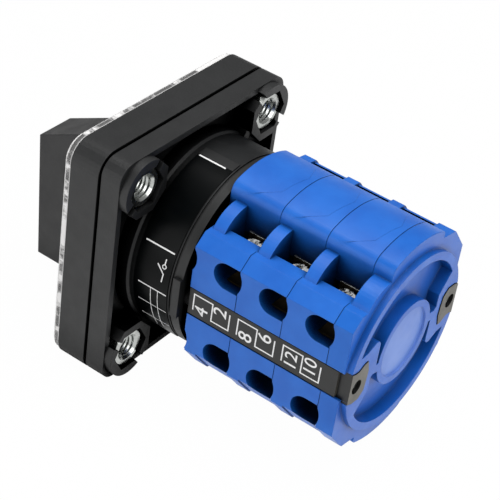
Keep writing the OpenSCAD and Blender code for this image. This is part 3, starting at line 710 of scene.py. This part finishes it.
# Guard lips of the clamp plates: a bar above each screw's head on two legs beside it, in the darkened
# brass, with a thin zinc strip along its top as a painted highlight
LIP_PLACE = (10.35, 10.85)      # X
LIP_WIDTH = (-3.2, 2.0)         # Y from the clamp's middle
LIP_LEG = 0.7
LIP_BAR = (15.5, 16.3)          # Z
# The zinc strip on the bar's top is a painted highlight.
LIP_HIGHLIGHT = 0.12                 # bright top edge
LIP_FOOT = 13.3
CLAMP_MIDDLE = 8.9


def box(points, faces, low, high):
    """Adds a box between two corners to a mesh in the making."""
    start = len(points)
    points += [(x, y, z) for x in (low[0], high[0]) for y in (low[1], high[1]) for z in (low[2], high[2])]
    for face in ((0, 1, 3, 2), (4, 6, 7, 5), (0, 4, 5, 1), (2, 3, 7, 6), (0, 2, 6, 4), (1, 5, 7, 3)):
        faces.append(tuple(start + i for i in face))


def turned(point, turn):
    """The same point, or the one half a turn about the shaft further."""
    return (turn * point[0], point[1], turn * point[2])


def clamp_lips():
    x0, x1 = LIP_PLACE
    for section in (1, 2, 3):
        middle = box_mm(f"contact_housing_{section}")[1].y - SECTION + CLAMP_MIDDLE
        y0 = middle + LIP_WIDTH[0]
        y1 = middle + LIP_WIDTH[1]
        dark = ([], [])
        painted_highlight = ([], [])
        for turn in (1, -1):
            parts = [((x0, y0, LIP_BAR[0]), (x1, y1, LIP_BAR[1])),
                     ((x0, y0, LIP_FOOT), (x1, y0 + LIP_LEG, LIP_BAR[0])),
                     ((x0, y1 - LIP_LEG, LIP_FOOT), (x1, y1, LIP_BAR[0]))]
            for low, high in parts:
                box(*dark, turned(low, turn), turned(high, turn))
            # Painted highlight: a thin strip of zinc along the bar's top.
            edge = LIP_BAR[1] + LIP_HIGHLIGHT
            box(*painted_highlight, turned((x0, y0, LIP_BAR[1]), turn), turned((x1, y1, edge), turn))
        add_piece(f"clamp_lips_{section}", *dark, "brass")
        add_piece(f"clamp_lip_highlights_{section}", *painted_highlight, "zinc")


# Threads in the corner nuts
THREAD_PITCH = 1.0
THREAD_ROOT = 3.03
THREAD_CREST = 2.55
THREAD_PROFILE = ((THREAD_ROOT, 0.02), (THREAD_CREST, 0.43), (THREAD_CREST, 0.57), (THREAD_ROOT, 0.98))
THREAD_STEPS = 40
THREAD_START = 0.3
THREAD_SHORT = 1.1              # how much shorter the thread is than its nut
HALF_HOLE = 24


def nut_threads():
    low, high = box_mm("corner_nuts")
    length = high.y - low.y - THREAD_SHORT
    turns = length / THREAD_PITCH - 1
    count = int(turns * THREAD_STEPS)
    rows = len(THREAD_PROFILE)
    points = []
    faces = []
    for sx in (-1, 1):
        for sz in (-1, 1):
            start = len(points)
            for i in range(count + 1):
                angle = 2 * math.pi * i / THREAD_STEPS
                y = low.y + THREAD_START + THREAD_PITCH * i / THREAD_STEPS
                for radius, shift in THREAD_PROFILE:
                    points.append((sx * HALF_HOLE + radius * math.cos(angle), y + shift * THREAD_PITCH,
                                   sz * HALF_HOLE + radius * math.sin(angle)))
            for i in range(count):
                for k in range(rows):
                    a = start + rows * i + k
                    b = start + rows * i + (k + 1) % rows
                    faces.append((a, b, b + rows, a + rows))
            faces.append((start, start + 3, start + 2, start + 1))
            end = start + rows * count
            faces.append((end, end + 1, end + 2, end + 3))
    add_piece("nut_threads", points, faces, "zinc")


# Floor, light and background; lengths in metres
FLOOR_SIZE = 3.0
FLOOR_GAP = 0.0005
FLOOR_GREY = 0.8
WHITE_SHARE = 0.985     # share of plain white that the camera sees of the floor
WORLD_LIGHT = 0.3
AIM = (0, 0.02, 0)
LIGHTS = (("top", (-0.05, 0.1, 0.75), (0.7, 0.7), 5.6),
          ("rear", (0.25, 0.8, 0.35), (0.6, 0.5), 3.2),
          ("side", (0.8, -0.25, 0.2), (0.5, 0.6), 1.45))


def make_floor():
    """A pale floor that camera, mirror and clear pieces see as nearly plain white."""
    half = FLOOR_SIZE / 2
    z = cad_box[0][2] - FLOOR_GAP
    mesh = bpy.data.meshes.new("floor")
    mesh.from_pydata([(-half, -half, z), (half, -half, z), (half, half, z), (-half, half, z)], [],
                     [(0, 1, 2, 3)])
    floor = bpy.data.objects.new("floor", mesh)
    bpy.context.scene.collection.objects.link(floor)
    shader = Shader("floor")
    shader.set(Base_Color=(FLOOR_GREY, FLOOR_GREY, FLOOR_GREY, 1), Roughness=0.9, Specular_IOR_Level=0.0)
    rays = shader.add("ShaderNodeLightPath").outputs
    seen = shader.calculate("MAXIMUM", rays["Is Camera Ray"], rays["Is Transmission Ray"])
    seen = shader.calculate("MAXIMUM", seen, rays["Is Glossy Ray"])
    white = shader.add("ShaderNodeEmission")
    mix = shader.add("ShaderNodeMixShader")
    shader.link(shader.calculate("MULTIPLY", seen, WHITE_SHARE), mix.inputs["Fac"])
    shader.link(shader.surface.outputs["BSDF"], mix.inputs[1])
    shader.link(white.outputs["Emission"], mix.inputs[2])
    shader.link(mix.outputs["Shader"], shader.tree.nodes["Material Output"].inputs["Surface"])
    mesh.materials.append(shader.material)


def make_world():
    """A white background for the camera, and a dimmer one that lights the pieces."""
    world = bpy.data.worlds.new("world")
    bpy.context.scene.world = world
    world.use_nodes = True
    tree = world.node_tree
    background = tree.nodes["Background"]
    rays = tree.nodes.new("ShaderNodeLightPath")
    choice = tree.nodes.new("ShaderNodeMix")
    choice.data_type = "FLOAT"
    choice.inputs["A"].default_value = WORLD_LIGHT
    choice.inputs["B"].default_value = 1.0
    tree.links.new(rays.outputs["Is Camera Ray"], choice.inputs["Factor"])
    tree.links.new(choice.outputs["Result"], background.inputs["Strength"])
    background.inputs["Color"].default_value = (1, 1, 1, 1)


def make_lights():
    for name, place, size, power in LIGHTS:
        data = bpy.data.lights.new(name, "AREA")
        data.shape = "RECTANGLE"
        data.size, data.size_y = size
        data.energy = power
        light = bpy.data.objects.new(name, data)
        bpy.context.scene.collection.objects.link(light)
        light.location = place
        aim = Vector(AIM) - Vector(place)
        light.rotation_euler = aim.to_track_quat("-Z", "Y").to_euler()


def main():
    bpy.context.scene.view_settings.view_transform = "Standard"
    make_camera()
    dress_nodes()
    coil_springs()
    print_strap("label_strap_right", 1, NUMBERS_RIGHT)
    print_strap("label_strap_left", -1, NUMBERS_LEFT)
    print_band()
    print_dial()
    print_knob()
    nut_threads()
    mould_marks()
    clamp_lips()
    make_floor()
    make_world()
    make_lights()


main()
